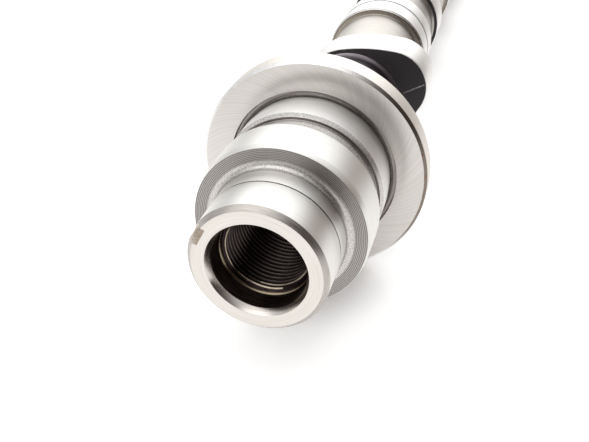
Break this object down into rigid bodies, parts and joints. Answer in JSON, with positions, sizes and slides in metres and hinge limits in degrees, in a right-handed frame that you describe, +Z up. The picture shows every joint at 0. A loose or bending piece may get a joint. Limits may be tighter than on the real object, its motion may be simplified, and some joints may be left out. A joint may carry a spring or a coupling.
{
  "type": "camshaft",
  "caption": "One-piece cast camshaft with a threaded hollow nose, a notched nose face, a ground front journal, a thrust flange, and cam lobes between bearing journals.",
  "frame": {"origin": "on the shaft's axis, at the middle of the front journal's ground band", "axes": "+Z up as the shaft lies on a flat surface, the nose towards -Y; the axis dips 2.49 degrees towards the rear"},
  "size_m": [0.0634, 0.326, 0.0638],
  "materials": {
    "ground_iron": "ground bright on the journals, lobes and thrust face, as cast on the lobes' sides"
  },
  "bodies": {
    "root": {"camshaft": "ground_iron"}
  },
  "joints": []
}
